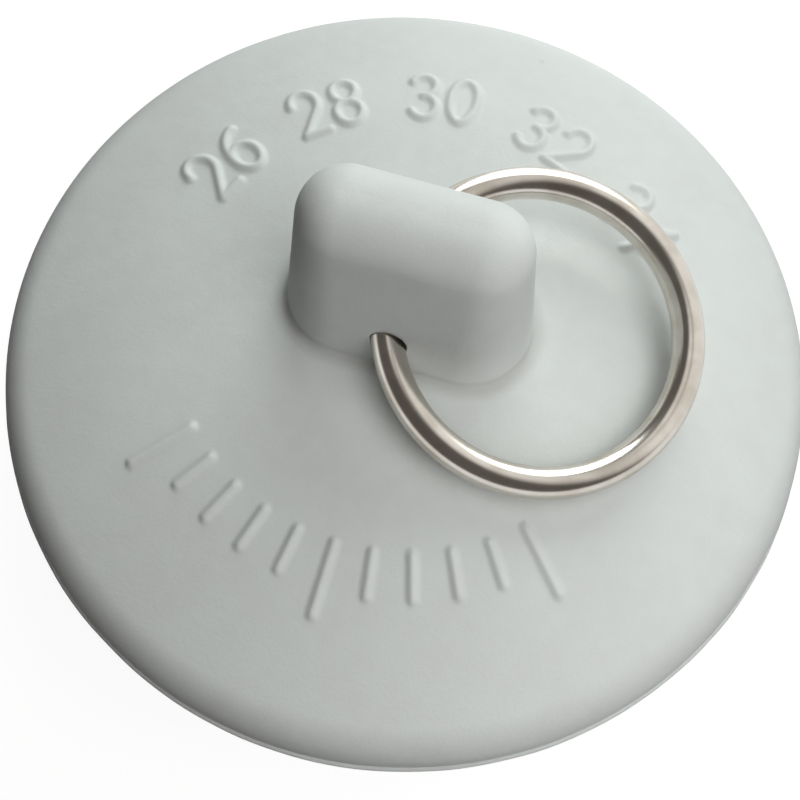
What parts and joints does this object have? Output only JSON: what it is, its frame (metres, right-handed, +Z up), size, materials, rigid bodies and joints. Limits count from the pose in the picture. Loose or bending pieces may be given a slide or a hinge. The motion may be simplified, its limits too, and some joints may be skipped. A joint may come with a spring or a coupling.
{
  "type": "drain stopper",
  "caption": "Round rubber sink stopper: crowned flange over a hollow tapered plug, finger lug on top, and a plated wire pull ring that swings in the lug's eye.",
  "frame": {"origin": "centre of the plug's end, at the level that the stopper stands on", "axes": "+Z up along the plug, out of the drain; X along the lug's long side, with the ring lying towards +X; Y through the lug's eye"},
  "size_m": [0.0444, 0.0444, 0.0279],
  "materials": {
    "white_rubber": "matt moulded off-white rubber",
    "plated_wire": "bright nickel plate on steel wire"
  },
  "bodies": {
    "stopper": {"rubber_stopper": "white_rubber"},
    "ring": {"pull_ring": "plated_wire"}
  },
  "joints": [
    {"name": "ring_swing", "type": "hinge", "parent": "stopper", "child": "ring", "pos_m": [-0.00025, 0, 0.0208], "axis": [0, -0.9925, -0.1219], "range_deg": [0, 196]}
  ]
}
